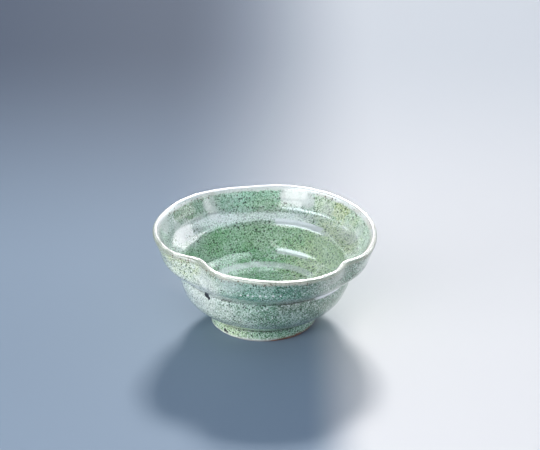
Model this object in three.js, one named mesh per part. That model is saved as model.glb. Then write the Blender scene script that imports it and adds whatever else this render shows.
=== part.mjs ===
// A small hand-thrown stoneware bowl whose lip was pressed in at three places while the clay was soft.
// It is built up as the potter builds it: the thrown body, the foot ring luted under it, and the coats
// of glass that the kiln melts onto them, poured inside, outside and under the base.
// Millimetres and degrees, +Z up. The bowl stands on z = 0 with the middle of its outline on the origin.
import * as THREE from "three";

// Outside of the thrown clay before the lip is pressed: each station's radius, and its rise above the last.
const footRadius = 30.1; // at the joint between foot ring and body
const footHeight = 7.4;
const heelRadius = 40; // the belly turns in here towards the foot
const heelRise = 6.4;
const flankRadius = 46.1;
const flankRise = 6.4;
const bellyRadius = 49;
const bellyRise = 6.9;
const waistRadius = 51; // turned groove between the belly and the flared band
const waistRise = 8.2;
const shoulderRadius = 59.8;
const shoulderRise = 8.5;
const collarRadius = 62.1;
const collarRise = 5.9;
const rimRadius = 64.2; // at the middle of the lip's roll
const rimRise = 6.4;

// Inside of the thrown clay.
const wallThickness = 4.8; // at the flank
const lipThickness = 2.9;
const floorThickness = 5.2; // under the middle of the well
const wellRadius = 31.5; // nearly flat floor of the inside
const wellRise = 1.5; // climb of the floor from its middle to the well's edge

// Foot ring, thrown apart and stuck on with slip.
const footWidth = 6.6; // at its top
const footFlare = 0.5; // the ring is wider outside at the table
const footDraft = 1.2; // and wider inside, so that it thins downwards
const toeBevel = 0.7; // both edges are turned off so that they do not chip

// Coats of glass.
const glazeThickness = 0.55;
const thinGlaze = 0.3; // where it runs off the lip, and at its wiped edges
const poolDepth = 1.5; // where it gathers in the middle of the well
const filletGlaze = 0.9; // where it gathers in the corner inside the foot ring
const bareToe = 0.95; // height of the clay wiped bare outside the foot ring
const bareInside = 2.4; // and inside it

// Throwing rings left by the fingers, as a place on the wall, a rise out of it and a width along it.
const waistHeight = footHeight + heelRise + flankRise + bellyRise + waistRise;
const outsideRings = [
  { height: waistHeight - 23, rise: -0.3, width: 1.8 },
  { height: waistHeight, rise: -1, width: 2.2 }, // the groove
  { height: waistHeight + 14, rise: -0.25, width: 2.4 },
];
const insideRings = [
  { height: waistHeight - 15, rise: 0.5, width: 2.4 },
  { height: waistHeight + 3, rise: 0.8, width: 2.6 }, // the clay that the groove pushed in
  { height: waistHeight + 13, rise: 0.35, width: 2.4 },
];

// Fingers pressed the lip in, and the wall beside them swelled out. Angles run from +X towards +Y.
const presses = [
  { angle: 103, depth: 4.3, spread: 25 }, // back
  { angle: 226, depth: 7.8, spread: 12 }, // front left
  { angle: 318, depth: 4.8, spread: 9 }, // front right
];
const swells = [
  { angle: 183, depth: -1.8, spread: 24 },
  { angle: 292, depth: -3.6, spread: 31 },
];
const pressFade = 1.17; // how soon a dent dies out below the lip
const lean = 1.35; // the soft wall sank to one side
const leanTowards = -31;
const leanStart = 0.4; // 0 leans at once above the foot, 1 only evenly up to the lip
const sway = 1.7; // and drifted towards +X

const aroundSteps = 60;
const wallSteps = 13; // along each side of the wall
const lipSteps = 6;
const wellSteps = 3;

const point = (radius, height) => new THREE.Vector2(radius, height);

// Evenly spaced points of a smooth line through stations of radius and height.
function smoothLine(stations, steps) {
  const curve = new THREE.CatmullRomCurve3(stations.map((p) => new THREE.Vector3(p.x, p.y, 0)), false, "centripetal");
  return curve.getSpacedPoints(steps).map((p) => point(p.x, p.y));
}

// A line moved to its right-hand side by a distance that may change along it. Its end on the axis stays there.
function offsetLine(line, distanceAt) {
  return line.map((p, i) => {
    const along = line[Math.min(i + 1, line.length - 1)].clone().sub(line[Math.max(i - 1, 0)]).normalize();
    const distance = distanceAt(p, i);
    if (p.x === 0) return point(0, p.y - Math.sign(along.x) * distance);
    return point(p.x + along.y * distance, p.y - along.x * distance);
  });
}

// How far the throwing rings stand out of the smooth wall at one height.
function ringRise(rings, height) {
  return rings.reduce((sum, ring) => sum + ring.rise * Math.exp(-(((height - ring.height) / ring.width) ** 2)), 0);
}

function outsideStations() {
  const steps = [
    [footRadius, footHeight],
    [heelRadius, heelRise],
    [flankRadius, flankRise],
    [bellyRadius, bellyRise],
    [waistRadius, waistRise],
    [shoulderRadius, shoulderRise],
    [collarRadius, collarRise],
    [rimRadius, rimRise],
  ];
  let height = 0;
  return steps.map(([radius, rise]) => point(radius, (height += rise)));
}

// The clay's skin from the foot joint up the outside, over the lip and down to the middle of the well.
function claySkin() {
  const stations = outsideStations();
  const outside = smoothLine(stations, wallSteps);
  const last = stations.length - 1;
  const flank = 2;
  const thickness = (i) => THREE.MathUtils.mapLinear(i, flank, last, wallThickness, lipThickness);
  const backed = offsetLine(stations, (_, i) => -thickness(i));
  const floorMiddle = footHeight + floorThickness;
  const wellEdge = point(wellRadius, floorMiddle + wellRise);
  const inside = smoothLine([...backed.slice(flank).reverse(), wellEdge], wallSteps);
  const acrossLip = stations[last].clone().sub(backed[last]).multiplyScalar(0.5);
  const lip = [];
  for (let i = 1; i < lipSteps; i++) {
    const turn = acrossLip.clone().rotateAround(point(0, 0), (Math.PI * i) / lipSteps);
    lip.push(turn.add(backed[last]).add(acrossLip));
  }
  const well = [];
  for (let i = wellSteps - 1; i >= 0; i--) {
    const out = i / wellSteps;
    well.push(point(wellRadius * out, floorMiddle + wellRise * out ** 2));
  }
  return {
    line: [
      ...offsetLine(outside, (p, i) => (i > 0 ? ringRise(outsideRings, p.y) : 0)),
      ...lip,
      ...offsetLine(inside, (p) => ringRise(insideRings, p.y)),
      ...well,
    ],
    crest: outside.length - 1 + Math.round(lipSteps / 2),
  };
}

// Dents and swells of the soft wall, none below the waist and most at the lip, and its lean and sway.
function pressedIn(geometry, topHeight) {
  const position = geometry.getAttribute("position");
  const slope = Math.tan(THREE.MathUtils.degToRad(lean));
  const downhill = new THREE.Vector2(1, 0).rotateAround(new THREE.Vector2(), THREE.MathUtils.degToRad(leanTowards));
  for (let i = 0; i < position.count; i++) {
    const [x, y, z] = [position.getX(i), position.getY(i), position.getZ(i)];
    const radius = Math.hypot(x, y);
    const angle = THREE.MathUtils.radToDeg(Math.atan2(y, x));
    const softness = Math.max(z - waistHeight, 0) / (topHeight - waistHeight);
    const push = [...presses, ...swells].reduce((sum, press) => {
      const away = THREE.MathUtils.euclideanModulo(angle - press.angle + 180, 360) - 180;
      return sum + press.depth * Math.exp(-((away / press.spread) ** 2));
    }, 0);
    const scale = radius > 0 ? 1 - (push * softness ** pressFade) / radius : 1;
    const up = Math.max(z - footHeight, 0) / (topHeight - footHeight);
    const sunk = slope * scale * (x * downhill.x + y * downhill.y) * up ** leanStart;
    position.setXYZ(i, x * scale + sway * up, y * scale, z - sunk);
  }
  return geometry;
}

const skin = claySkin();
const topHeight = skin.line[skin.crest].y;
const ringInside = footRadius - footWidth;

// Splits every patch of a turned skin on the diagonal that rises to the same side, whichever way its profile
// runs. Clay and glass that share a line of the profile then share their dented faces too.
function matchDiagonals(geometry, profile) {
  const index = geometry.getIndex();
  const patches = profile.length - 1;
  for (let around = 0; around < aroundSteps; around++) {
    for (let along = 0; along < patches; along++) {
      const fall = profile[along].y - profile[along + 1].y || profile[along].x - profile[along + 1].x;
      if (fall <= 0) continue;
      const first = 6 * (around * patches + along);
      const [a, b, d, c] = [0, 1, 2, 3].map((k) => index.getX(first + k));
      [a, b, c, a, c, d].forEach((corner, k) => index.setX(first + k, corner));
    }
  }
}

// A solid turned on the wheel from a closed profile, with the dents of the lip in it.
function turned(profile) {
  const geometry = new THREE.LatheGeometry(profile, aroundSteps);
  matchDiagonals(geometry, profile);
  geometry.rotateX(Math.PI / 2);
  return pressedIn(geometry, topHeight);
}

function clayBody() {
  return turned([point(0, footHeight), point(ringInside, footHeight), ...skin.line]);
}

// Points on the two faces of the foot ring at one height.
const ringOutsideAt = (height) => point(footRadius + footFlare * (1 - height / footHeight), height);
const ringInsideAt = (height) => point(ringInside + footDraft * (1 - height / footHeight), height);

function footRing() {
  const outerToe = ringOutsideAt(toeBevel);
  const innerToe = ringInsideAt(toeBevel);
  return turned([
    ringInsideAt(footHeight),
    ringInsideAt(bareInside),
    innerToe,
    point(innerToe.x + toeBevel, 0),
    point(outerToe.x - toeBevel, 0),
    outerToe,
    ringOutsideAt(bareToe),
    ringOutsideAt(footHeight),
    ringInsideAt(footHeight),
  ]);
}

// A coat lies on a line of clay. Where the line meets the axis, so does the coat.
function coat(line, face) {
  return turned([...face, ...line.slice().reverse(), face[0]]);
}

// Both poured coats share one face line, so they meet without a step on the crest of the lip.
const glazedLine = [ringOutsideAt(bareToe), ...skin.line];
const glazedCrest = skin.crest + 1;
const glazedFace = offsetLine(glazedLine, (p, i) => {
  if (i === 0 || Math.abs(i - glazedCrest) < 2) return thinGlaze;
  if (i < glazedCrest) return glazeThickness;
  return THREE.MathUtils.lerp(glazeThickness, poolDepth, Math.max(1 - p.x / wellRadius, 0));
});

function outerGlaze() {
  return coat(glazedLine.slice(0, glazedCrest + 1), glazedFace.slice(0, glazedCrest + 1));
}

function innerGlaze() {
  return coat(glazedLine.slice(glazedCrest), glazedFace.slice(glazedCrest));
}

function baseGlaze() {
  const line = [point(0, footHeight), ringInsideAt(footHeight), ringInsideAt(bareInside)];
  const thickness = [glazeThickness, filletGlaze, thinGlaze];
  return coat(line, offsetLine(line, (_, i) => thickness[i]));
}

const stoneware = new THREE.MeshStandardMaterial({ color: 0xa87a5c, roughness: 0.8, metalness: 0 });
const insideGlass = new THREE.MeshStandardMaterial({ color: 0x8fb795, roughness: 0.12, metalness: 0 });
const outsideGlass = new THREE.MeshStandardMaterial({ color: 0x8fb4a2, roughness: 0.15, metalness: 0 });

function piece(name, geometry, material) {
  const mesh = new THREE.Mesh(geometry, material);
  mesh.name = name;
  return mesh;
}

const bowl = new THREE.Group();
bowl.add(
  piece("clay_body", clayBody(), stoneware),
  piece("foot_ring", footRing(), stoneware),
  piece("inner_glaze", innerGlaze(), insideGlass),
  piece("outer_glaze", outerGlaze(), outsideGlass),
  piece("base_glaze", baseGlaze(), outsideGlass),
);

// The presses leave the lip's outline a little off the wheel's axis.
const middle = new THREE.Box3().setFromObject(bowl).getCenter(new THREE.Vector3());
bowl.position.set(-middle.x, -middle.y, 0);

export default bowl;
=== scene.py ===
import math

import bpy
import numpy as np
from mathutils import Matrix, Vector


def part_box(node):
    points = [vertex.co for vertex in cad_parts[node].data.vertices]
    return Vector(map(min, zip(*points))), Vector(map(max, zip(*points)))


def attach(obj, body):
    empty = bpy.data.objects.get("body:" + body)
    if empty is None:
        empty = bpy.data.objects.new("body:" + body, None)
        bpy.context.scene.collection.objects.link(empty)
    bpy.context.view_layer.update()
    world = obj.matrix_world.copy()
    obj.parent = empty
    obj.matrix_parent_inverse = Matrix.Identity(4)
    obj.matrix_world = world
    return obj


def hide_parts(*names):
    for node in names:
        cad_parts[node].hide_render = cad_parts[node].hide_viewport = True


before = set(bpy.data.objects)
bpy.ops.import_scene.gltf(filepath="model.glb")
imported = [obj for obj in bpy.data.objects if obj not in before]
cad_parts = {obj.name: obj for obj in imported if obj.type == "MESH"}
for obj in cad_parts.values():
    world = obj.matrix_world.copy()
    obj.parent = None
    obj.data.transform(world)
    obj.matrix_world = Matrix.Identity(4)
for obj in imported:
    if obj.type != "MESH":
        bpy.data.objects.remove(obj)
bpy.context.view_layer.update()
mm = 0.001

# The bowl's own axis goes through the middle of its foot ring.
ringLow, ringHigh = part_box("foot_ring")
axisX = (ringLow.x + ringHigh.x) / 2 / mm
axisY = (ringLow.y + ringHigh.y) / 2 / mm
footHeight = ringHigh.z / mm
print("frame loaded, foot axis at", round(axisX, 2), round(axisY, 2))

# The thrown shape in mm and degrees, the same as the CAD body's.

throwing = {
    "stations": [(30.1, 7.4), (40, 13.8), (46.1, 20.2), (49, 27.1), (51, 35.3), (59.8, 43.8), (62.1, 49.7),
                 (64.2, 56.1)],  # radius and height up the outside of the clay
    "flank": 2,  # station where the inside wall begins
    "wallThickness": 4.8,
    "lipThickness": 2.9,
    "floorThickness": 5.2,
    "wellRadius": 31.5,
    "wellRise": 1.5,
    "waist": 35.3,
    "outsideRings": [(12.3, -0.3, 1.8), (35.3, -1, 2.2), (49.3, -0.25, 2.4)],  # height, rise, width
    "insideRings": [(20.3, 0.5, 2.4), (38.3, 0.8, 2.6), (48.3, 0.35, 2.4)],
    "presses": [(103, 4.3, 25), (226, 7.8, 12), (318, 4.8, 9), (183, -1.8, 24), (292, -3.6, 31)],
    "pressFade": 1.17,
    "lean": 1.35,
    "leanTowards": -31,
    "leanStart": 0.4,
    "sway": 1.7,
    "rowStep": 0.45,  # fineness of the mesh along the wall
    "underStep": 1.5,  # and under the floor, which a coat covers
    "bodyRow": 2,  # each second row goes into the body's mesh, and the coats have them all
    "around": 360,
}
angle = np.linspace(0, 2 * math.pi, throwing["around"], endpoint=False)[None]


def smoothLine(stations, perSpan):  # centripetal curve through the stations
    pts = np.array(stations, float)
    pts = np.vstack([2 * pts[0] - pts[1], pts, 2 * pts[-1] - pts[-2]])
    line = []
    for k in range(1, len(pts) - 2):
        p0, p1, p2, p3 = pts[k - 1:k + 3]
        d0, d1, d2 = (math.sqrt(np.linalg.norm(b - a)) for a, b in ((p0, p1), (p1, p2), (p2, p3)))
        t1 = ((p1 - p0) / d0 - (p2 - p0) / (d0 + d1) + (p2 - p1) / d1) * d1
        t2 = ((p2 - p1) / d1 - (p3 - p1) / (d1 + d2) + (p3 - p2) / d2) * d1
        for t in np.linspace(0, 1, perSpan, endpoint=False):
            bend = (3 * (p2 - p1) - 2 * t1 - t2) * t ** 2
            turn = (2 * (p1 - p2) + t1 + t2) * t ** 3
            line.append(p1 + t1 * t + bend + turn)
    line.append(pts[-2])
    return np.array(line)


def lengthAlong(line):
    return np.r_[0, np.cumsum(np.linalg.norm(np.diff(line, axis=0), axis=1))]


def evenly(line, step):  # the same line with points about one step apart
    line = np.array(line, float)
    length = lengthAlong(line)
    at = np.linspace(0, length[-1], max(int(round(length[-1] / step)), 2) + 1)
    return np.stack([np.interp(at, length, line[:, 0]), np.interp(at, length, line[:, 1])], 1)


def rightNormals(line, soften=0):  # soften: rows over which a corner's normals turn
    along = np.gradient(line, axis=0)
    along /= np.linalg.norm(along, axis=1)[:, None]
    if soften:
        reach = int(3 * soften)
        bell = np.exp(-0.5 * (np.arange(-reach, reach + 1) / soften) ** 2)
        padded = np.pad(along, ((reach, reach), (0, 0)), mode="edge")
        along = np.stack([np.convolve(padded[:, c], bell, "valid") for c in (0, 1)], 1)
        along /= np.linalg.norm(along, axis=1)[:, None]
    return np.stack([along[:, 1], -along[:, 0]], 1)


def ringed(line, rings):  # lifts the throwing rings out of a wall
    rise = sum(up * np.exp(-((line[:, 1] - z) / width) ** 2) for z, up, width in rings)
    return line + rightNormals(line) * rise[:, None]


def claySkin():  # foot joint, outside wall, lip, inside wall, well
    t = throwing
    step = t["rowStep"]
    stations = np.array(t["stations"], float)
    outside = evenly(smoothLine(stations, 40), step)
    last = len(stations) - 1
    thickness = np.interp(range(last + 1), [t["flank"], last], [t["wallThickness"], t["lipThickness"]])
    backed = np.empty_like(stations)
    for i in range(last + 1):
        along = stations[min(i + 1, last)] - stations[max(i - 1, 0)]
        along /= np.linalg.norm(along)
        backed[i] = stations[i] - thickness[i] * np.array([along[1], -along[0]])
    floorMiddle = footHeight + t["floorThickness"]
    wellEdge = (t["wellRadius"], floorMiddle + t["wellRise"])
    inside = evenly(smoothLine([*backed[t["flank"]:][::-1], wellEdge], 40), step)
    across = (stations[last] - backed[last]) / 2
    turns = np.linspace(0, math.pi, max(int(math.pi * np.linalg.norm(across) / step), 8) + 1)[1:-1]
    lip = [backed[last] + across + [across[0] * math.cos(a) - across[1] * math.sin(a),
                                    across[0] * math.sin(a) + across[1] * math.cos(a)] for a in turns]
    out = np.linspace(1, 0, int(t["wellRadius"] / step) + 1)[1:]
    well = np.stack([t["wellRadius"] * out, floorMiddle + t["wellRise"] * out ** 2], 1)
    line = np.vstack([ringed(outside, t["outsideRings"]), lip, ringed(inside, t["insideRings"]), well])
    line[0] = stations[0]
    return line, len(outside) - 1 + (len(lip) + 1) // 2


skinLine, crestRow = claySkin()
topHeight = skinLine[crestRow, 1]


def pressedIn(r, z):  # dents, lean and sway: rows of radius and height in mm to points
    t = throwing
    push = 0
    for at, depth, spread in t["presses"]:
        away = (np.degrees(angle) - at + 180) % 360 - 180
        push = push + depth * np.exp(-(away / spread) ** 2)
    soft = np.clip((z - t["waist"]) / (topHeight - t["waist"]), 0, None) ** t["pressFade"]
    r = np.where(r > 0, r - push * soft, r)
    x, y = r * np.cos(angle), r * np.sin(angle)
    up = np.clip((z - footHeight) / (topHeight - footHeight), 0, None)
    lean, way = math.radians(t["lean"]), math.radians(t["leanTowards"])
    sunk = math.tan(lean) * (x * math.cos(way) + y * math.sin(way)) * up ** t["leanStart"]
    return np.stack([x + axisX + t["sway"] * up, y + axisY, z - sunk], -1)


print("wall has", len(skinLine), "rows, lip at", round(topHeight, 2), "mm")

# Small unevenness that hands and the turning tool left, in mm out of the clay.

hands = {
    "girth": 350,  # round the band, into which whole waves fit
    "waveCount": 24,
    "fadesWithin": 22,  # waves die out towards the axis
    "slow": (26, 0.07, 3),  # size of the waves, how high they stand, seed of their draw
    "quick": (9, 0.022, 11),
    "footFade": 4,  # length of wall over which they begin above the foot
    "wellSpiral": (4.1, 0.035),  # pitch and height of the line that the fingers wound in the well
    "wellSpan": (5, 33, 4),  # radii between which it shows, and how softly it ends
    "grooveLines": (2.1, 0.06),
    "grooveSpan": (-2, 7, 1.5),  # the same for heights above the waist
}


def waves(size, strength, seed, along, radius):
    draw = np.random.default_rng(seed)
    total = 0
    most = int(hands["girth"] / size)
    for _ in range(hands["waveCount"]):
        around = draw.integers(-most, most + 1)
        up = draw.normal(0, 0.7) * 2 * math.pi / size
        total = total + np.cos(around * angle + up * along + draw.uniform(0, 2 * math.pi))
    total = strength * total / math.sqrt(hands["waveCount"] / 2)
    return total * np.clip(radius / hands["fadesWithin"], 0, 1)


def window(value, low, high, edge):  # 1 between low and high, fading to 0 over the edge
    return np.clip((value - low) / edge, 0, 1) * np.clip((high - value) / edge, 0, 1)


fromLip = lengthAlong(skinLine) - lengthAlong(skinLine)[crestRow]  # negative outside, positive inside


def handRelief():
    h = hands
    along, r, z = fromLip[:, None], skinLine[:, :1], skinLine[:, 1:]
    relief = waves(*h["slow"], along, r) + waves(*h["quick"], along, r)
    pitch, height = h["wellSpiral"]
    inWell = window(r, *h["wellSpan"]) * (along > 0)
    relief = relief + height * inWell * np.cos(2 * math.pi * r / pitch + angle)
    pitch, height = h["grooveLines"]
    nearGroove = window(z - throwing["waist"], *h["grooveSpan"]) * (along < 0)
    relief = relief + height * nearGroove * np.cos(2 * math.pi * along / pitch)
    return relief * np.clip((along - fromLip[0]) / h["footFade"], 0, 1)


skinNormals = rightNormals(skinLine)
relief = handRelief()
skinR = skinLine[:, :1] + skinNormals[:, :1] * relief
skinZ = skinLine[:, 1:] + skinNormals[:, 1:] * relief
skinR[-1] = 0


# Turning a closed profile into a mesh: r and z are rows x around, and so are the marks.

def turnedPiece(name, r, z, node, marks=None):
    around = throwing["around"]
    points = pressedIn(r, z) * mm
    rows = len(points)
    onAxis = [bool(np.all(r[k] == 0)) for k in range(rows)]
    verts, first = [], []
    for k in range(rows):
        first.append(len(verts))
        verts.extend(points[k, :1] if onAxis[k] else points[k])
    faces = []
    for a in range(rows):
        b = (a + 1) % rows
        if onAxis[a] and onAxis[b]:
            continue
        for i in range(around):
            j = (i + 1) % around
            low = [first[a]] if onAxis[a] else [first[a] + i, first[a] + j]
            high = [first[b]] if onAxis[b] else [first[b] + j, first[b] + i]
            faces.append(low + high)
    mesh = bpy.data.meshes.new(name)
    mesh.from_pydata(verts, [], faces)
    mesh.shade_smooth()
    for label, values in (marks or {}).items():
        flat = np.concatenate([np.broadcast_to(values[k], (around,))[:1 if onAxis[k] else around]
                               for k in range(rows)])
        mesh.attributes.new(label, "FLOAT", "POINT").data.foreach_set("value", flat.astype(np.float32))
    piece = bpy.data.objects.new(name, mesh)
    bpy.context.scene.collection.objects.link(piece)
    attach(piece, "root")
    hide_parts(node)
    return piece


# Clay: the thrown body and the ring luted under it.

foot = {
    "outside": throwing["stations"][0][0],
    "flare": 0.5,
    "width": 6.6,
    "draft": 1.2,
    "bevel": 0.7,
    "rough": (5, 0.05, 29),  # size, height and seed of the toe's unevenness
    "roughSpan": (0.15, footHeight - 0.6, 0.5),  # heights between which it shows, and how softly it ends
    "rowStep": 0.4,
    "cornerRows": 1.5,  # rows over which it turns a corner
}
ringInside = foot["outside"] - foot["width"]


def ringOutsideAt(z):
    return foot["outside"] + foot["flare"] * (1 - z / footHeight)


def ringInsideAt(z):
    return ringInside + foot["draft"] * (1 - z / footHeight)


def spread(column):  # one column of rows to rows x around
    return np.repeat(np.asarray(column, float)[:, None], throwing["around"], axis=1)


def makeClayBody():
    under = evenly([(0, footHeight), (ringInside, footHeight), skinLine[0]], throwing["underStep"])[:-1]
    rows = [*range(0, len(skinLine) - 1, throwing["bodyRow"]), len(skinLine) - 1]
    r = np.vstack([spread(under[:, 0]), skinR[rows]])
    z = np.vstack([spread(under[:, 1]), skinZ[rows]])
    return turnedPiece("clayBody", r, z, "clay_body")


def makeFootRing():
    bevel = foot["bevel"]
    corners = [(ringInsideAt(footHeight), footHeight), (ringInsideAt(bevel), bevel),
               (ringInsideAt(0) + bevel, 0), (ringOutsideAt(0) - bevel, 0), (ringOutsideAt(bevel), bevel),
               (ringOutsideAt(footHeight), footHeight)]
    line = evenly(corners, foot["rowStep"])
    normals = rightNormals(line, foot["cornerRows"])
    r, z = line[:, :1], line[:, 1:]
    uneven = waves(*foot["rough"], lengthAlong(line)[:, None], r)
    uneven = uneven * window(z, *foot["roughSpan"])
    return turnedPiece("footRing", r + normals[:, :1] * uneven, z + normals[:, 1:] * uneven, "foot_ring")


clayBody = makeClayBody()
footRing = makeFootRing()
print("clay made")

# Glass: poured inside, poured outside down to the toe, and brushed under the base.

coats = {
    "thickness": 0.55,
    "lip": 0.3,
    "lipReach": 2.6,  # how far from the crest it is thin
    "pool": 1.5,  # at the middle of the well
    "levelling": 0.45,  # share of the clay's unevenness that the glass fills
    "runs": (11, 0.05, 17),  # size, height and seed of the runs in the glass
    "runsFull": 6,  # how far from the crest they are full
    "toe": 0.65,  # where the outer coat was wiped off above the table
    "toeTilt": (0.4, -30),  # by how much it is higher, and towards which side
    "toeWave": (11, 0.12, 5),
    "edge": 0.12,
    "edgeRise": 0.6,  # height over which the coat swells from its wiped edge
    "bead": (0.18, 0.9, 0.5),  # the edge drew up into a bead: how thick, how high, how wide
    "fillet": (0.1, 1.3),  # more glass in the corner over the foot, and how far it reaches
    "jointReach": 1.0,  # of the dark line in that corner
    "toeReach": 1.1,  # of the tint at the wiped edge
    "ringRows": 20,
    "backRow": 4,  # each fourth row goes into the hidden back of a coat
    "cornerRows": 1.3,  # rows over which the coat turns the corner over the foot
    "baseEdge": 2.4,
    "baseRise": 1.2,
    "baseThinnest": 0.25,  # share of its thickness at its edge
    "baseFillet": (0.1, 1.8),
    "baseRuns": (11, 0.05, 41),
    "baseMiddle": 2,  # radius within which it is even
    "baseStep": 0.5,
    "baseBackRow": 2,
    "baseCornerRows": 2.5,
    "baseFromLip": 60,  # it takes the colour of the wall this far down
    "pits": [((-33.5, -35.2, 34.5), 1.8), ((-32.2, -36.2, 32.9), 1.1), ((-23.4, -18.8, 2.9), 1.1),
             ((-22.0, -20, 2.2), 0.9)],  # where iron melted through: place and radius
    "pitDepth": 0.34,
}


def glassOver(r, z, thickness, normals):
    return r + normals[:, :1] * thickness, z + normals[:, 1:] * thickness


def coatThickness(rows):
    c = coats
    along, r = fromLip[rows, None], skinLine[rows, :1]
    flat = c["lip"] + (c["thickness"] - c["lip"]) * np.clip(np.abs(along) / c["lipReach"], 0, 1)
    pooled = np.where(along > 0, np.clip(1 - (r / throwing["wellRadius"]) ** 2, 0, 1), 0)
    pooled = pooled * (c["pool"] - c["thickness"])
    runs = waves(*c["runs"], along, r) * np.clip(np.abs(along) / c["runsFull"], 0, 1)
    return flat + pooled + runs - c["levelling"] * relief[rows]


def makeInnerGlaze():
    rows = slice(crestRow, len(skinLine))
    thickness = coatThickness(rows)
    faceR, faceZ = glassOver(skinR[rows], skinZ[rows], thickness, skinNormals[rows])
    faceR[-1] = 0
    back = [*range(len(skinLine) - 1, crestRow, -coats["backRow"]), crestRow]
    along = spread(np.abs(fromLip))
    marks = {"fromLip": np.vstack([along[rows], along[back]]),
             "depth": np.vstack([thickness, coatThickness(back)]),
             "ridge": np.vstack([relief[rows], relief[back]])}
    return turnedPiece("innerGlaze", np.vstack([faceR, skinR[back]]), np.vstack([faceZ, skinZ[back]]),
                       "inner_glaze", marks)


def makeOuterGlaze():
    c = coats
    share = np.linspace(0, 1, c["ringRows"], endpoint=False)[:, None]
    tilt, towards = c["toeTilt"]
    toe = c["toe"] + tilt * np.cos(angle - math.radians(towards))
    toe = toe + waves(*c["toeWave"], 0, foot["outside"])
    ringZ = toe + (footHeight - toe) * share
    lineR = np.vstack([ringOutsideAt(ringZ), skinR[:crestRow + 1]])
    lineZ = np.vstack([ringZ, skinZ[:crestRow + 1]])
    middle = np.stack([lineR.mean(1), lineZ.mean(1)], 1)
    normals = rightNormals(middle, c["cornerRows"])
    height = ringZ - toe
    swell, at, width = c["bead"]
    onRing = c["thickness"] + swell * np.exp(-((height - at) / width) ** 2)
    onRing = c["edge"] + (onRing - c["edge"]) * np.clip(height / c["edgeRise"], 0, 1) ** 0.5
    corner = np.abs(lengthAlong(middle) - lengthAlong(middle)[len(share)])[:, None]
    thickness = np.vstack([onRing + 0 * angle, coatThickness(slice(0, crestRow + 1))])
    swell, reach = c["fillet"]
    thickness = thickness + swell * np.exp(-(corner / reach) ** 2)
    points = pressedIn(lineR, lineZ)
    for at, radius in c["pits"]:
        away = np.linalg.norm(points - at, axis=-1)
        thickness = thickness - c["pitDepth"] * np.exp(-(away / radius) ** 4)
    thickness = np.maximum(thickness, c["edge"])
    faceR, faceZ = glassOver(lineR, lineZ, thickness, normals)
    total = len(lineR)
    back = [*range(total - 1, 0, -c["backRow"]), 0]
    along = spread(lengthAlong(middle)[-1] - lengthAlong(middle))
    joint = np.exp(-(corner / c["jointReach"]) ** 2) + 0 * angle
    toeEdge = np.vstack([np.exp(-(height / c["toeReach"]) ** 2), 0 * lineR[len(share):]])
    ridge = np.vstack([0 * ringZ, relief[:crestRow + 1]])
    marks = {"fromLip": np.vstack([along, along[back]]), "depth": np.vstack([thickness, thickness[back]]),
             "joint": np.vstack([joint, joint[back]]), "toe": np.vstack([toeEdge, toeEdge[back]]),
             "ridge": np.vstack([ridge, ridge[back]])}
    return turnedPiece("outerGlaze", np.vstack([faceR, lineR[back]]), np.vstack([faceZ, lineZ[back]]),
                       "outer_glaze", marks)


def makeBaseGlaze():
    c = coats
    end = (ringInsideAt(c["baseEdge"]), c["baseEdge"])
    line = evenly([(0, footHeight), (ringInside, footHeight), end], c["baseStep"])
    normals = rightNormals(line, c["baseCornerRows"])
    normals[0] = (0, -1)
    length = lengthAlong(line)[:, None]
    swell, reach = c["baseFillet"]
    thickness = c["thickness"] + swell * np.exp(-((length - ringInside) / reach) ** 2)
    thickness = thickness + waves(*c["baseRuns"], length, line[:, :1]) * (length > c["baseMiddle"])
    thickness = thickness * np.clip((length[-1] - length) / c["baseRise"], c["baseThinnest"], 1)
    r, z = spread(line[:, 0]), spread(line[:, 1])
    faceR, faceZ = glassOver(r, z, thickness, normals)
    faceR[0] = 0
    back = [*range(len(line) - 1, 0, -c["baseBackRow"]), 0]
    marks = {"fromLip": spread([c["baseFromLip"]] * (len(line) + len(back))),
             "depth": np.vstack([thickness, thickness[back]])}
    return turnedPiece("baseGlaze", np.vstack([faceR, r[back]]), np.vstack([faceZ, z[back]]),
                       "base_glaze", marks)


innerGlaze = makeInnerGlaze()
outerGlaze = makeOuterGlaze()
baseGlaze = makeBaseGlaze()
print("glass made")


# Small helpers for material nodes.

def add(tree, kind, inputs=None, **settings):
    node = tree.nodes.new(kind)
    for key, value in settings.items():
        setattr(node, key, value)
    for key, value in (inputs or {}).items():
        plug(tree, node.inputs[key], value)
    return node


def plug(tree, socket, value):
    if isinstance(value, bpy.types.NodeSocket):
        tree.links.new(value, socket)
    else:
        socket.default_value = value


def calc(tree, operation, a, b=0.0):
    node = add(tree, "ShaderNodeMath", {0: a, 1: b}, operation=operation)
    return node.outputs[0]


def blend(tree, factor, a, b, how="MIX"):
    a, b = ((*v, 1) if isinstance(v, tuple) else v for v in (a, b))
    node = add(tree, "ShaderNodeMix", {0: factor, 6: a, 7: b}, data_type="RGBA", blend_type=how)
    return node.outputs[2]


def fade(tree, value, start, end, low=0.0, high=1.0):  # smooth step from start to end
    node = add(tree, "ShaderNodeMapRange", {0: value, 1: start, 2: end, 3: low, 4: high},
               interpolation_type="SMOOTHSTEP")
    return node.outputs[0]


def between(tree, value, low, high, edge):  # 1 between low and high
    rising = fade(tree, value, low - edge, low)
    return calc(tree, "MULTIPLY", rising, fade(tree, value, high + edge, high))


def placeInMm(tree):
    place = add(tree, "ShaderNodeTexCoord").outputs["Object"]
    return add(tree, "ShaderNodeVectorMath", {0: place, 3: 1000.0}, operation="SCALE").outputs[0]


def mark(tree, name):
    return add(tree, "ShaderNodeAttribute", attribute_name=name).outputs["Fac"]


def cloud(tree, place, size, detail=2.0, rough=0.5):
    node = add(tree, "ShaderNodeTexNoise", {"Vector": place, "Scale": 1 / size, "Detail": detail,
                                            "Roughness": rough})
    return node.outputs[0]


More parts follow.
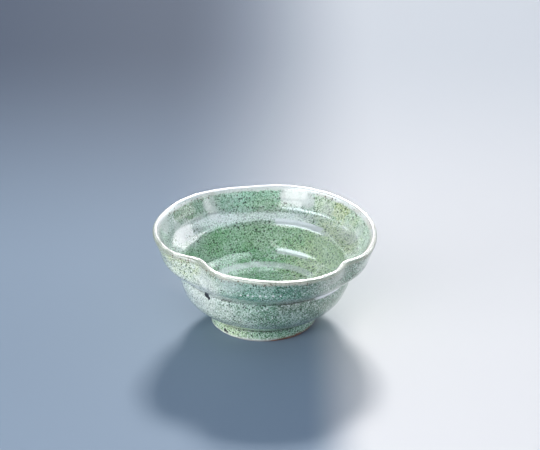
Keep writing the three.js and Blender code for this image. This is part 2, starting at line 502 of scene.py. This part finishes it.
def cells(tree, place, size, feature="F1"):
    return add(tree, "ShaderNodeTexVoronoi", {"Vector": place, "Scale": 1 / size}, feature=feature)


def grains(tree, place, size, radius, share):  # round specks in a share of the cells
    found = cells(tree, place, size)
    pick = add(tree, "ShaderNodeSeparateColor", {0: found.outputs["Color"]}).outputs
    reach = calc(tree, "MULTIPLY", radius, calc(tree, "ADD", calc(tree, "MULTIPLY", pick[1], 0.8), 0.5))
    inside = fade(tree, calc(tree, "SUBTRACT", found.outputs["Distance"], reach), 0.08, -0.08)
    return calc(tree, "MULTIPLY", inside, calc(tree, "LESS_THAN", pick[0], share))


def shifted(tree, place, by):  # so that two layers of clouds or specks don't fall on each other
    return add(tree, "ShaderNodeVectorMath", {0: place, 1: by}, operation="ADD").outputs[0]


def patch(tree, place, at, radius, softness, wobble):  # round patch about a place in mm, for stains and for painted highlights and shade
    away = add(tree, "ShaderNodeVectorMath", {0: place, 1: at}, operation="DISTANCE").outputs["Value"]
    sway = calc(tree, "MULTIPLY", calc(tree, "SUBTRACT", wobble, 0.5), radius * 1.1)
    away = calc(tree, "ADD", away, sway)
    return fade(tree, away, radius * (1 + softness), radius * (1 - softness))


def newMaterial(name):
    mat = bpy.data.materials.new(name)
    mat.use_nodes = True
    return mat, mat.node_tree, mat.node_tree.nodes["Principled BSDF"]


# Celadon glass, milky and speckled, with iron spots. Colours are linear, places and sizes in mm.

grooveWay = float(-fromLip[np.argmin(np.abs(skinLine[:crestRow, 1] - throwing["waist"]))])
innerLook = {
    "deep": (0.33, 0.68, 0.35),
    "pale": (0.8, 0.88, 0.84),
    "turnsDeep": (22, 29),  # from the lip
    "lip": (0.95, 0.95, 0.93),
    # the near lip is painted darker than the far one: painted shade
    "lipFrontShaded": (0.37, 0.41, 0.335),
    "lipReach": 3.6,
    "stainsAndShade": [  # place, radius, colour, strength, softness
        ((57, 14, 50), 20, (0.74, 0.88, 0.72), 0.6, 0.5),
        ((38, 24, 28), 28, (0.94, 1, 0.64), 0.9, 0.5),
        ((-54, 30, 50), 20, (0.94, 0.97, 0.95), 0.9, 0.4),
        ((-41.5, 43, 53), 5.5, (0.4, 0.62, 0.44), 0.95, 0.06),
        ((-46, 37.5, 53.5), 6, (0.4, 0.6, 0.4), 0.95, 0.06),
        ((-51, 31, 54.5), 5.5, (0.42, 0.58, 0.4), 0.95, 0.06),
        ((-22, 55, 52), 7, (0.54, 0.82, 0.66), 0.75, 0.3),
        ((-11, 57, 51), 8, (0.6, 0.94, 0.76), 0.9, 0.08),
        ((2, 59, 52), 7.5, (0.58, 0.92, 0.7), 0.9, 0.06),
        ((20, 57, 53), 9, (0.6, 0.7, 0.64), 0.9, 0.2),
        ((46, 42, 54.5), 8, (0.8, 0.84, 0.48), 0.9, 0.08),
        ((36, 50, 54), 8, (0.78, 0.86, 0.64), 0.9, 0.06),
        ((0, 52, 38), 16, (0.46, 0.6, 0.34), 0.5, 0.4),
    ],
    "milkAndGlare": [  # milky places and painted highlights and haze where the glass mirrors the lamps and the pale ceiling: place, radius, strength, softness
        ((14.5, 58.5, 53.5), 5.5, 0.75, 0.12), ((20.5, 57, 53), 5.5, 0.75, 0.12),
        ((26, 55, 52), 4.5, 0.7, 0.2), ((-51, 24, 47), 5, 0.65, 0.2), ((-50, 20, 44), 4.5, 0.65, 0.2),
        ((-46, 28, 45), 3.5, 0.6, 0.3),
        ((-33, 48, 53), 4.5, 0.65, 0.3), ((-32, 47, 48), 4, 0.5, 0.4), ((-47, 33, 47), 3.5, 0.45, 0.5),
        ((-40, 41, 45.5), 4, 0.45, 0.5), ((-30, 46.5, 45), 4, 0.4, 0.5), ((-60, 14, 58), 7, 0.8, 0.5),
        ((48, 29, 45), 5.5, 0.35, 0.5), ((52, 20, 44.5), 5, 0.4, 0.5), ((54, 19, 50), 5, 0.4, 0.5),
        ((37, 46, 49), 5, 0.35, 0.5), ((37, 29, 33), 10, 0.18, 0.8),
    ],
    "paintedStreaks": [  # painted highlights in bands along the throwing rings, where the glass mirrors the lamps and the pale ceiling: ends from the lip, edge, place, radius, strength
        ((18.5, 22), 1.5, (-4, 52, 44), 32, 0.25),
        ((22.8, 25.8), 0.9, (21, 44, 39), 16, 0.95),
        ((41.2, 44), 0.8, (16, 41, 24.5), 10, 0.8),
        ((50.6, 53), 1.2, (-2, 38, 18), 34, 0.6),
    ],
    "beads": [((-4.3, 59.2, 57.1), 1.2), ((6.6, 60.5, 57.1), 1.2)],  # place, radius
    "iron": [((-38.2, 44.2, 54.4), 0.9), ((-37.4, 43.6, 52.6), 0.6)],
}
outerLook = {
    "deep": (0.13, 0.34, 0.2),
    "pale": (0.45, 0.68, 0.51),
    "turnsDeep": (200, 210),  # longer than the wall, so the outside never does
    "lip": (0.6, 0.64, 0.56),
    # the near lip is painted darker than the far one: painted shade
    "lipFrontShaded": (0.42, 0.46, 0.37),
    "lipReach": 2.3,
    "stainsAndShade": [
        ((-50, -34, 50), 28, (0.82, 0.82, 0.37), 0.85, 0.45),
        ((-38, -30, 26), 30, (0.86, 0.92, 0.83), 0.85, 0.45),
        # painted shade: the right side of the outside darker, partly the glass's deeper tone there
        ((45, -45, 36), 46, (0.15, 0.28, 0.19), 0.8, 0.5),
        ((0, -60, 46), 15, (0.18, 0.48, 0.31), 0.75, 0.6),
        ((-13, -58, 46), 12, (0.2, 0.52, 0.34), 0.6, 0.6),
        ((14, -58, 45), 12, (0.16, 0.42, 0.29), 0.6, 0.6),
        ((14, -50, 37), 8, (0.2, 0.22, 0.16), 0.6, 0.5),
        ((-22, -24, 4), 18, (0.7, 0.84, 0.5), 0.8, 0.75),
        ((8, -31, 4), 18, (0.3, 0.54, 0.34), 0.7, 0.5),
    ],
    "milkAndGlare": [((-40, -34, 30), 12, 0.3, 0.6), ((-34, -47, 48), 8, 0.4, 0.6), ((-20, -59, 54), 8, 0.42, 0.8)],
    "paintedStreaks": [],
    "beads": [
        ((-13.5, -57.9, 46.1), 0.6), ((-9.5, -58.9, 46.5), 0.7), ((-6.8, -59.5, 46.2), 0.6),
        ((-2.6, -60.2, 46.7), 0.7), ((0.6, -60.5, 46.5), 0.6), ((4.8, -60.5, 46.9), 0.7),
        ((9, -60.3, 46.6), 0.6),
    ],
    "iron": coats["pits"],
    "groove": 0.75,
    "groovePatches": (0.4, 0.6, 0.3, 1.0),  # ends of the large cloud and how strong the line is at them
    "grooveWidth": (1.1, 0.3),  # from its middle, where the dark line ends and where it is full
    "paintedGlint": ((40, -34, 36), 12, 0.35),  # painted highlight where the waist would mirror the bright floor: place, radius, softness
    "paintedGlintWidth": (1.9, 1.0),
    "jointPatches": (0.35, 0.6, 0.7, 0.95),
    "gatheredAndGlinting": ((-22, -22, 2), 26, 0.3),  # where the wiped edge is thick and pale, with a painted highlight along it
}
mottle = {  # clouds in the glass: size, detail, roughness
    "large": (17, 2, 0.5),
    "middling": (5, 3, 0.6),
    "fine": (0.74, 3, 0.7),
}
ground = {
    "wander": 6,  # how far the turn to the deep colour wanders up and down the wall
    "lower": 0.7,  # share of the depth of colour that comes from the place on the wall
    "mottled": 0.2,
    "mottledSpan": (0.38, 0.62),
    "thick": 0.2,
    "thickSpan": (0.42, 0.72),
}
specks = {
    "clear": 0.95,  # strength
    "clearSpan": (0.475, 0.43),  # of the fine cloud
    "milky": 0.95,
    "milkySpan": (0.535, 0.58),
    "milkyWhite": 0.55,
    "seed": (1.6, 0.26, 0.6),  # cell, radius in cells, share of cells
    "seedStrength": 0.95,
    "seedWhite": 0.75,
    "grain": (1.55, 0.31, 0.85),
    "grainPatches": (0.32, 0.58, 0.35, 1.0),  # ends of the middling cloud and their strength there
    "rim": (1.5, 0.3, 0.75),
    "rimStrength": 0.9,
    "ridge": 0.45,
    "ridgeRise": 0.09,  # unevenness at which it is full
    "crackle": 4.2,
    "crackleWidth": 0.035,
    "crackleStrength": 0.2,
}
overLip = {
    "wander": 2.4,  # how far the edge of the thin glass wanders
    "edge": 0.8,
    "farSpan": (-35, 20),  # along Y, from the near lip's colour to the far one's; the near lip is painted darker, painted shade
    "slip": 0.5,
    "slipSpan": (0.52, 0.72),
    "flecks": (0.6, 0.08),  # on the near lip and on the far one
    "rimSpan": (-1, 1.6),  # dark specks about its edge
    "rimPatches": (0.42, 0.6, 0.2, 1.0),
}
glassTints = {
    "clear": (0.18, 0.32, 0.2),  # darkens what lies under it
    "milky": (0.92, 0.98, 0.95),
    # milky glass, and painted highlights and haze inside the bowl
    "milkAndGlare": (0.88, 0.88, 0.86),
    # painted highlight streaks along the throwing rings
    "paintedStreakTint": (0.94, 0.95, 0.94),
    "hollow": (0.4, 0.5, 0.4),  # darkens what lies under it
    "crown": (0.85, 0.92, 0.88),
    "grain": (0.015, 0.035, 0.02),
    "crackle": (0.2, 0.27, 0.2),
    "groove": (0.07, 0.07, 0.045),
    # painted highlight on the waist
    "paintedGlint": (0.96, 0.98, 1),
    "joint": (0.03, 0.035, 0.02),
    "slip": (0.74, 0.68, 0.58),
    "lipFleck": (0.25, 0.28, 0.2),
    "rim": (0.12, 0.075, 0.03),
    "bead": (0.92, 0.93, 0.9),
    "iron": (0.012, 0.01, 0.008),
    "toeThin": (0.26, 0.15, 0.09),
    # pale thick edge, with a painted highlight along it
    "toeThickGlint": (0.95, 0.95, 0.88),
}
glassFinish = {
    "rough": (0.2, 0.34),
    "coatRough": 0.045,
    "coatIor": 1.55,
    "fineRise": 0.5,
    "seedRise": 0.35,
    "grainDip": 0.5,
    "pitted": 0.35,
    "rippleFine": 0.12,
    "rippled": 0.27,
    "bumpDepth": 0.12 * mm,
}


def spotted(tree, place, spots, softness, wobble):  # all the spots of one kind
    found = 0.0
    for at, radius in spots:
        found = calc(tree, "MAXIMUM", found, patch(tree, place, at, radius, softness, wobble))
    return found


def glassFields(tree):  # what the colour of the glass goes by
    place = placeInMm(tree)
    fine = cloud(tree, place, *mottle["fine"])
    middling = cloud(tree, shifted(tree, place, (40, 0, 0)), *mottle["middling"])
    grain = grains(tree, shifted(tree, place, (2, 9, 5)), *specks["grain"])
    return {
        "place": place,
        "lipWay": mark(tree, "fromLip"),
        "large": cloud(tree, place, *mottle["large"]),
        "middling": middling,
        "fine": fine,
        "clear": fade(tree, fine, *specks["clearSpan"]),
        "milky": fade(tree, fine, *specks["milkySpan"]),
        "seeds": grains(tree, shifted(tree, place, (7, 3, 1)), *specks["seed"]),
        "grain": calc(tree, "MULTIPLY", grain, fade(tree, middling, *specks["grainPatches"])),
    }


def groundColour(tree, look, glass):  # deeper down the wall and where the glass is thick, with stains, and painted shade on the outside's right side
    g, large, middling = ground, glass["large"], glass["middling"]
    start, end = (turn + g["wander"] / 2 for turn in look["turnsDeep"])
    lower = calc(tree, "ADD", glass["lipWay"], calc(tree, "MULTIPLY", large, g["wander"]))
    lower = fade(tree, lower, start, end)
    mottled = calc(tree, "ADD", calc(tree, "MULTIPLY", large, 0.6), calc(tree, "MULTIPLY", middling, 0.4))
    mottled = fade(tree, mottled, *g["mottledSpan"])
    thick = fade(tree, mark(tree, "depth"), *g["thickSpan"])
    deepness = calc(tree, "MULTIPLY", lower, g["lower"])
    deepness = calc(tree, "ADD", deepness, calc(tree, "MULTIPLY", mottled, g["mottled"]))
    deepness = calc(tree, "ADD", deepness, calc(tree, "MULTIPLY", thick, g["thick"]))
    colour = blend(tree, deepness, look["pale"], look["deep"])
    for at, radius, tint, strength, softness in look["stainsAndShade"]:
        stainAndShade = calc(tree, "MULTIPLY", patch(tree, glass["place"], at, radius, softness, middling), strength)
        colour = blend(tree, stainAndShade, colour, tint)
    return colour


def overRidges(tree, colour):  # milky over the unevenness of the clay, clear between
    ridge = fade(tree, mark(tree, "ridge"), -specks["ridgeRise"], specks["ridgeRise"])
    hollow = calc(tree, "MULTIPLY", calc(tree, "SUBTRACT", 0.5, ridge), specks["ridge"])
    colour = blend(tree, hollow, colour, blend(tree, 1.0, colour, glassTints["hollow"], "MULTIPLY"))
    crown = calc(tree, "MULTIPLY", calc(tree, "SUBTRACT", ridge, 0.5), specks["ridge"])
    return blend(tree, crown, colour, glassTints["crown"])


def flecked(tree, glass, colour):  # clear and milky flecks, pale seeds, dark iron grains, crackle
    dusky = blend(tree, 1.0, colour, glassTints["clear"], "MULTIPLY")
    colour = blend(tree, calc(tree, "MULTIPLY", glass["clear"], specks["clear"]), colour, dusky)
    whiter = blend(tree, specks["milkyWhite"], colour, glassTints["milky"])
    colour = blend(tree, calc(tree, "MULTIPLY", glass["milky"], specks["milky"]), colour, whiter)
    whiter = blend(tree, specks["seedWhite"], colour, glassTints["milky"])
    colour = blend(tree, calc(tree, "MULTIPLY", glass["seeds"], specks["seedStrength"]), colour, whiter)
    colour = blend(tree, glass["grain"], colour, glassTints["grain"])
    edges = cells(tree, glass["place"], specks["crackle"], "DISTANCE_TO_EDGE").outputs["Distance"]
    crack = fade(tree, edges, specks["crackleWidth"], 0.0)
    crack = calc(tree, "MULTIPLY", crack, specks["crackleStrength"])
    return blend(tree, crack, colour, glassTints["crackle"])


def clouded(tree, look, glass, colour):  # milky places, which hide the specks, with painted highlights and haze inside the bowl and painted highlight streaks along its rings
    place, middling = glass["place"], glass["middling"]
    for at, radius, strength, softness in look["milkAndGlare"]:
        milkAndGlare = calc(tree, "MULTIPLY", patch(tree, place, at, radius, softness, middling), strength)
        colour = blend(tree, milkAndGlare, colour, glassTints["milkAndGlare"])
    for ends, edge, at, radius, strength in look["paintedStreaks"]:
        milkAndGlare = calc(tree, "MULTIPLY", patch(tree, place, at, radius, 0.2, middling), strength)
        milkAndGlare = calc(tree, "MULTIPLY", milkAndGlare, between(tree, glass["lipWay"], *ends, edge))
        colour = blend(tree, milkAndGlare, colour, glassTints["paintedStreakTint"])
    return colour


def lined(tree, look, glass, colour):  # dark in the turned groove and in the corner over the foot, and a painted highlight on the waist
    place, large = glass["place"], glass["large"]
    fromGroove = calc(tree, "ABSOLUTE", calc(tree, "SUBTRACT", glass["lipWay"], grooveWay))
    groove = fade(tree, fromGroove, *look["grooveWidth"])
    groove = calc(tree, "MULTIPLY", groove, fade(tree, large, *look["groovePatches"]))
    colour = blend(tree, calc(tree, "MULTIPLY", groove, look["groove"]), colour, glassTints["groove"])
    paintedGlint = patch(tree, place, *look["paintedGlint"], glass["middling"])
    paintedGlint = calc(tree, "MULTIPLY", fade(tree, fromGroove, *look["paintedGlintWidth"]), paintedGlint)
    colour = blend(tree, paintedGlint, colour, glassTints["paintedGlint"])
    joint = calc(tree, "MULTIPLY", mark(tree, "joint"), fade(tree, large, *look["jointPatches"]))
    return blend(tree, joint, colour, glassTints["joint"])


def thinAtLip(tree, look, glass, colour):  # the glass runs thin over the lip and shows the pale slip; the near lip is painted darker than the far one, painted shade
    place, large, reach, edge = glass["place"], glass["large"], look["lipReach"], overLip["edge"]
    uneven = calc(tree, "MULTIPLY", calc(tree, "SUBTRACT", glass["middling"], 0.5), overLip["wander"])
    lipEdge = calc(tree, "ADD", glass["lipWay"], uneven)
    far = fade(tree, add(tree, "ShaderNodeSeparateXYZ", {0: place}).outputs[1], *overLip["farSpan"])
    tint = blend(tree, far, look["lipFrontShaded"], look["lip"])
    slip = fade(tree, large, *overLip["slipSpan"], 0.0, overLip["slip"])
    tint = blend(tree, slip, tint, glassTints["slip"])
    flecks = calc(tree, "MULTIPLY", glass["clear"], fade(tree, far, 0.0, 1.0, *overLip["flecks"]))
    tint = blend(tree, flecks, tint, glassTints["lipFleck"])
    colour = blend(tree, fade(tree, lipEdge, reach + edge, reach - edge), colour, tint)
    start, end = (reach + ahead for ahead in overLip["rimSpan"])
    rim = grains(tree, shifted(tree, place, (5, 1, 8)), *specks["rim"])
    rim = calc(tree, "MULTIPLY", rim, between(tree, lipEdge, start, end, edge))
    rim = calc(tree, "MULTIPLY", rim, fade(tree, large, *overLip["rimPatches"]))
    return blend(tree, calc(tree, "MULTIPLY", rim, specks["rimStrength"]), colour, glassTints["rim"])


def beaded(tree, look, glass, colour):  # pale beads and iron pits
    place, fine = glass["place"], glass["fine"]
    colour = blend(tree, spotted(tree, place, look["beads"], 0.2, fine), colour, glassTints["bead"])
    return blend(tree, spotted(tree, place, look["iron"], 0.1, fine), colour, glassTints["iron"])


def wiped(tree, look, glass, colour):  # the edge over the toe, pale where it is thick and where a highlight is painted along it, else red-brown
    gatheredAndGlinting = patch(tree, glass["place"], *look["gatheredAndGlinting"], glass["middling"])
    edge = blend(tree, gatheredAndGlinting, glassTints["toeThin"], glassTints["toeThickGlint"])
    return blend(tree, mark(tree, "toe"), colour, edge)


def bumped(tree, height, strength, depth):
    bump = add(tree, "ShaderNodeBump", {"Height": height, "Strength": strength, "Distance": depth})
    return bump.outputs[0]


def makeGlaze(name, look, overFoot):  # overFoot: the coat that crosses the groove down to the toe
    mat, tree, shader = newMaterial(name)
    finish, glass = glassFinish, glassFields(tree)
    colour = overRidges(tree, groundColour(tree, look, glass))
    colour = clouded(tree, look, glass, flecked(tree, glass, colour))
    if overFoot:
        colour = lined(tree, look, glass, colour)
    colour = beaded(tree, look, glass, thinAtLip(tree, look, glass, colour))
    if overFoot:
        colour = wiped(tree, look, glass, colour)
    plug(tree, shader.inputs["Base Color"], colour)
    plug(tree, shader.inputs["Roughness"], fade(tree, glass["fine"], 0.3, 0.7, *finish["rough"]))
    shader.inputs["Coat Weight"].default_value = 1
    shader.inputs["Coat Roughness"].default_value = finish["coatRough"]
    shader.inputs["Coat IOR"].default_value = finish["coatIor"]
    height = calc(tree, "MULTIPLY", glass["fine"], finish["fineRise"])
    height = calc(tree, "ADD", height, calc(tree, "MULTIPLY", glass["seeds"], finish["seedRise"]))
    height = calc(tree, "SUBTRACT", height, calc(tree, "MULTIPLY", glass["grain"], finish["grainDip"]))
    plug(tree, shader.inputs["Normal"], bumped(tree, height, finish["pitted"], finish["bumpDepth"]))
    ripple = calc(tree, "MULTIPLY", glass["fine"], finish["rippleFine"])
    ripple = calc(tree, "ADD", glass["middling"], ripple)
    plug(tree, shader.inputs["Coat Normal"], bumped(tree, ripple, finish["rippled"], finish["bumpDepth"]))
    return mat


clayLook = {
    "broad": (6, 3, 0.6),  # clouds in it: size, detail, roughness
    "fine": (0.7, 4, 0.7),
    "dark": (0.16, 0.06, 0.035),
    "light": (0.42, 0.2, 0.12),
    "grit": (0.6, 0.5, 0.4),
    "gritGrains": (1.3, 0.22, 0.4),  # cell, radius in cells, share of cells
    "pore": (0.05, 0.025, 0.015),
    "poreGrains": (1.1, 0.2, 0.35),
    "grainStrength": 0.7,
    "washAndGlint": (0.8, 0.78, 0.7),  # pale film that glaze left on the wiped toe, with a painted highlight along that edge
    "washedAndGlinting": ((-22, -22, 0), 24, 0.25),  # place, radius, softness
    "washGlintStrength": 0.85,
    "rough": (0.65, 0.9),
    "bump": 0.6,
    "bumpDepth": 0.2 * mm,
}


def makeClay():
    mat, tree, shader = newMaterial("firedClay")
    look, place = clayLook, placeInMm(tree)
    broad = cloud(tree, place, *look["broad"])
    fine = cloud(tree, place, *look["fine"])
    colour = blend(tree, fade(tree, broad, 0.35, 0.65), look["dark"], look["light"])
    grit = grains(tree, place, *look["gritGrains"])
    colour = blend(tree, calc(tree, "MULTIPLY", grit, look["grainStrength"]), colour, look["grit"])
    pores = grains(tree, shifted(tree, place, (3, 5, 2)), *look["poreGrains"])
    colour = blend(tree, calc(tree, "MULTIPLY", pores, look["grainStrength"]), colour, look["pore"])
    # pale film on the toe, with a painted highlight along its edge
    washedAndGlinting = patch(tree, place, *look["washedAndGlinting"], broad)
    colour = blend(tree, calc(tree, "MULTIPLY", washedAndGlinting, look["washGlintStrength"]), colour, look["washAndGlint"])
    plug(tree, shader.inputs["Base Color"], colour)
    plug(tree, shader.inputs["Roughness"], fade(tree, fine, 0.3, 0.7, *look["rough"]))
    height = calc(tree, "SUBTRACT", calc(tree, "ADD", fine, calc(tree, "MULTIPLY", grit, 0.5)), pores)
    plug(tree, shader.inputs["Normal"], bumped(tree, height, look["bump"], look["bumpDepth"]))
    return mat


innerGlaze.data.materials.append(makeGlaze("innerCeladon", innerLook, False))
outerGlass = makeGlaze("outerCeladon", outerLook, True)
outerGlaze.data.materials.append(outerGlass)
baseGlaze.data.materials.append(outerGlass)
clay = makeClay()
clayBody.data.materials.append(clay)
footRing.data.materials.append(clay)
print("materials made")

# Floor, lights and camera.

floorLook = {
    "half": 15,  # metres
    "left": (0.24, 0.31, 0.4),
    "right": (0.8, 0.775, 0.77),
    "span": (-75, 85),  # mm along X over which it turns from one to the other behind the bowl; the turn is partly a graded floor and partly painted light that falls off to the left
    "underShadowSpan": (22, 60),  # and before it, where it keeps the dark colour under the bowl's cast shadow: painted shade
    "frontEnds": (-15, 50),
    "farShadeLeft": (0.2, 0.24, 0.32),  # painted shade: darker and bluer behind the bowl, most of all to the left, where the light falls off
    "farShadeRight": (0.76, 0.8, 0.84),
    "farSpan": (60, 460),
    "rough": 0.5,
    "shine": 0.06,
}


def makeFloor():
    mesh = bpy.data.meshes.new("floor")
    half = floorLook["half"]
    corners = [(-half, -half, 0), (half, -half, 0), (half, half, 0), (-half, half, 0)]
    mesh.from_pydata(corners, [], [(0, 1, 2, 3)])
    floor = bpy.data.objects.new("floor", mesh)
    bpy.context.scene.collection.objects.link(floor)
    mat, tree, shader = newMaterial("paleFloor")
    place = placeInMm(tree)
    x, y, _ = add(tree, "ShaderNodeSeparateXYZ", {0: place}).outputs
    # painted light and shade on the floor: pale to the right, dark to the left and far behind, and dark
    # under the cast shadow before the bowl
    behind = fade(tree, y, *floorLook["frontEnds"])
    start, end = (calc(tree, "ADD", calc(tree, "MULTIPLY", behind, far - near), near)
                  for far, near in zip(floorLook["span"], floorLook["underShadowSpan"]))
    across = fade(tree, x, start, end)
    far = blend(tree, across, floorLook["farShadeLeft"], floorLook["farShadeRight"])
    dim = blend(tree, fade(tree, y, *floorLook["farSpan"]), (1.0, 1.0, 1.0), far)
    colour = blend(tree, across, floorLook["left"], floorLook["right"])
    plug(tree, shader.inputs["Base Color"], blend(tree, 1.0, colour, dim, "MULTIPLY"))
    shader.inputs["Roughness"].default_value = floorLook["rough"]
    shader.inputs["Specular IOR Level"].default_value = floorLook["shine"]
    floor.data.materials.append(mat)


lampsAim = Vector((0, 0, 0.04))


def softbox(name, azimuth, elevation, distance, size, glow, reach):  # glow: brightness of its face
    data = bpy.data.lights.new(name, "AREA")
    data.shape = "RECTANGLE"
    data.size, data.size_y = size
    data.energy = glow * math.pi * size[0] * size[1]
    lamp = bpy.data.objects.new(name, data)
    turn, climb = math.radians(azimuth), math.radians(elevation)
    way = Vector((math.cos(climb) * math.cos(turn), math.cos(climb) * math.sin(turn), math.sin(climb)))
    lamp.location = lampsAim + way * distance
    lamp.rotation_euler = way.to_track_quat("Z", "Y").to_euler()
    lamp.visible_diffuse = reach != "mirror"  # a panel that only the glass mirrors lights nothing
    lamp.visible_glossy = reach != "clay"
    bpy.context.scene.collection.objects.link(lamp)


studio = {  # azimuth, elevation in degrees, distance and size in metres, glow, what it reaches
    "key": (88, 33.5, 8.0, (1.5, 1.0), 108, "all"),
    "front": (-94, 38, 1.0, (1.0, 0.4), 1.9, "clay"),
    "fill": (-150, 7, 1.1, (0.8, 0.24), 13, "clay"),
    "right": (20, 7, 1.1, (0.8, 0.24), 5, "clay"),
    "frontLeft": (-114, 14, 0.9, (0.5, 0.26), 3.9, "mirror"),
    "backRight": (44, 28, 0.9, (0.56, 0.4), 3.6, "mirror"),
    "rightLow": (20, 9, 0.9, (0.8, 0.26), 2.1, "mirror"),
    "frontRight": (-28, 12, 0.9, (0.12, 0.3), 3, "mirror"),
}

makeFloor()
for name, place in studio.items():
    softbox(name, *place)

view = {  # degrees and mm
    "elevation": 25.684,
    "distance": 1408.8,
    "targetX": 3.806,
    "targetZ": 60.905,
    "pxPerMm": 1.715,
    "pictureWidth": 540,  # px
    "sensor": 36,
}


def addCamera():
    v = view
    tilt = math.radians(v["elevation"])
    target = np.array([axisX + v["targetX"], axisY, v["targetZ"]])
    place = target + v["distance"] * np.array([0, -math.cos(tilt), math.sin(tilt)])
    data = bpy.data.cameras.new("camera")
    data.sensor_width = v["sensor"]
    data.lens = v["sensor"] * v["pxPerMm"] * v["distance"] / v["pictureWidth"]
    cam = bpy.data.objects.new("camera", data)
    cam.location = Vector(place * mm)
    cam.rotation_euler = (math.radians(90) - tilt, 0, 0)
    bpy.context.scene.collection.objects.link(cam)
    bpy.context.scene.camera = cam


room = {
    "fill": (0.62, 0.78, 1),
    "fillStrength": 0.38,
    "dark": 0.05,  # what the glass mirrors outside the ceiling
    "ceiling": (0.84, 0.94, 1),  # the pale cloth over the table, which only the glass mirrors
    "ceilingGlow": 3.4,
    "ceilingEdge": (0.24, 0.4),  # sines of the heights at which it begins and is full
    "ceilingFront": (-0.34, -0.18),  # it hangs over the bowl from side to side, dark before and behind
    "ceilingBack": (0.12, 0),
    "ceilingRight": (0.8, 0.7),  # it ends short of the right side
    "ceilingTurn": (2.2, 0.5),  # how much further back its edges run to the left, and to both sides
    "turnStart": (-0.45, -0.2),
    "panelSide": (-0.94, -0.2),  # a pale panel on the left that the glass mirrors as long streaks
    "panelDepth": (-0.97, 0.1),
    "panelHeight": (0.4, 0.46),
    "panelCut": (1.0, -0.83),  # slope and place of its cut corner
    "panelEdge": 0.02,
    "panelGlow": 7,
    "backdrop": (0.8, 0.83, 0.88),
}


def makeRoom():
    world = bpy.data.worlds.new("room")
    bpy.context.scene.world = world
    world.use_nodes = True
    tree = world.node_tree
    background = tree.nodes["Background"]
    way = add(tree, "ShaderNodeTexCoord").outputs["Generated"]
    side, depth, height = add(tree, "ShaderNodeSeparateXYZ", {0: way}).outputs
    ray = add(tree, "ShaderNodeLightPath").outputs
    frontTurn, backTurn = room["ceilingTurn"]
    full, start = room["turnStart"]
    towardsLeft = calc(tree, "MINIMUM", calc(tree, "MAXIMUM", side, full), start)
    towardsLeft = calc(tree, "MULTIPLY", calc(tree, "SUBTRACT", towardsLeft, start), frontTurn)
    towardsSides = calc(tree, "MULTIPLY", calc(tree, "ABSOLUTE", side), backTurn)
    front = fade(tree, calc(tree, "ADD", depth, towardsLeft), *room["ceilingFront"])
    back = fade(tree, calc(tree, "SUBTRACT", depth, towardsSides), *room["ceilingBack"])
    ceiling = fade(tree, height, *room["ceilingEdge"])
    for limit in (front, back, fade(tree, side, *room["ceilingRight"])):
        ceiling = calc(tree, "MULTIPLY", ceiling, limit)
    panel, soft = fade(tree, height, *room["panelHeight"]), room["panelEdge"]
    for value, (low, high) in ((side, room["panelSide"]), (depth, room["panelDepth"])):
        panel = calc(tree, "MULTIPLY", panel, fade(tree, value, low - soft, low + soft))
        panel = calc(tree, "MULTIPLY", panel, fade(tree, value, high + soft, high - soft))
    slope, cutAt = room["panelCut"]
    cut = calc(tree, "ADD", depth, calc(tree, "MULTIPLY", side, slope))
    panel = calc(tree, "MULTIPLY", panel, fade(tree, cut, cutAt + soft, cutAt - soft))
    glow = calc(tree, "ADD", calc(tree, "MULTIPLY", ceiling, room["ceilingGlow"]), room["dark"])
    glow = calc(tree, "MAXIMUM", glow, calc(tree, "MULTIPLY", panel, room["panelGlow"]))
    mirror = ray["Is Glossy Ray"]
    strength = blend(tree, mirror, (room["fillStrength"],) * 3, glow)
    seen = ray["Is Camera Ray"]
    strength = calc(tree, "MAXIMUM", strength, seen)
    colour = blend(tree, mirror, room["fill"], room["ceiling"])
    plug(tree, background.inputs["Color"], blend(tree, seen, colour, room["backdrop"]))
    plug(tree, background.inputs["Strength"], strength)


addCamera()
makeRoom()
bpy.context.scene.view_settings.view_transform = "Standard"
print("studio made")
